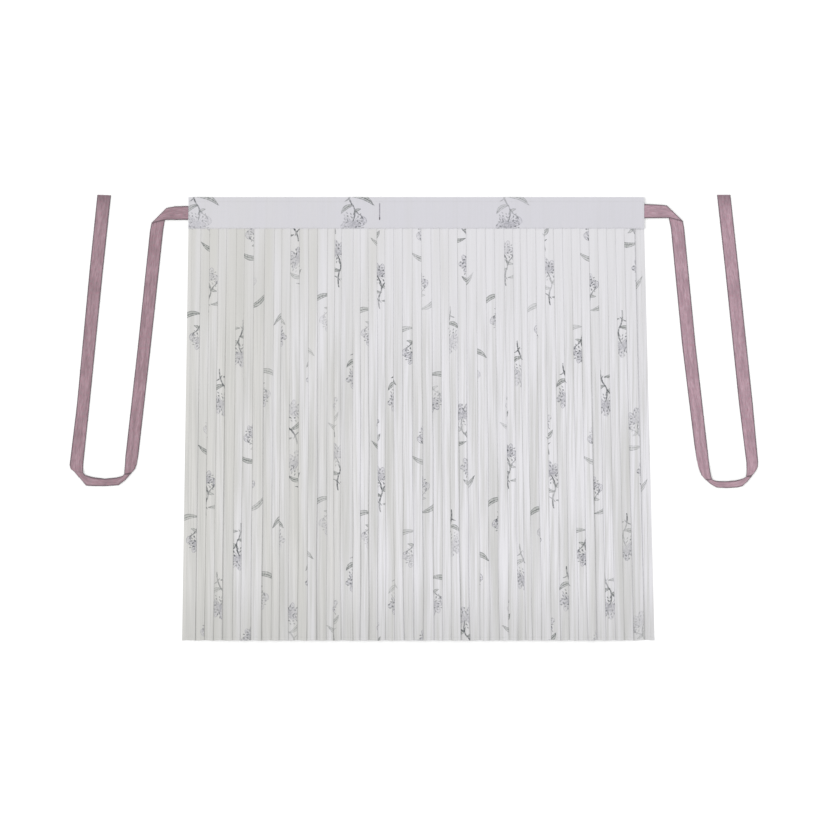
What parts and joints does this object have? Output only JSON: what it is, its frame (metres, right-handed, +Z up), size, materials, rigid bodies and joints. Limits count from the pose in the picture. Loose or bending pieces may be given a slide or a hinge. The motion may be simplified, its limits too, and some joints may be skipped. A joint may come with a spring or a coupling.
{
  "type": "pleated wrap skirt",
  "caption": "Floral pleated wrap skirt with a flat waistband and long tape ties, laid out flat.",
  "frame": {"origin": "middle of the skirt and its ties, on the surface that it lies on", "axes": "+X along the waist towards the wearer's left as laid out, +Y from the hem to the waistband, +Z up from the surface"},
  "size_m": [1.398, 0.905, 0.0073],
  "materials": {
    "printed_cloth": "soft matt",
    "tape": "matt"
  },
  "bodies": {
    "root": {"pleated_panel": "printed_cloth", "waistband": "printed_cloth", "tie_left": "tape", "tie_right": "tape"}
  },
  "joints": []
}
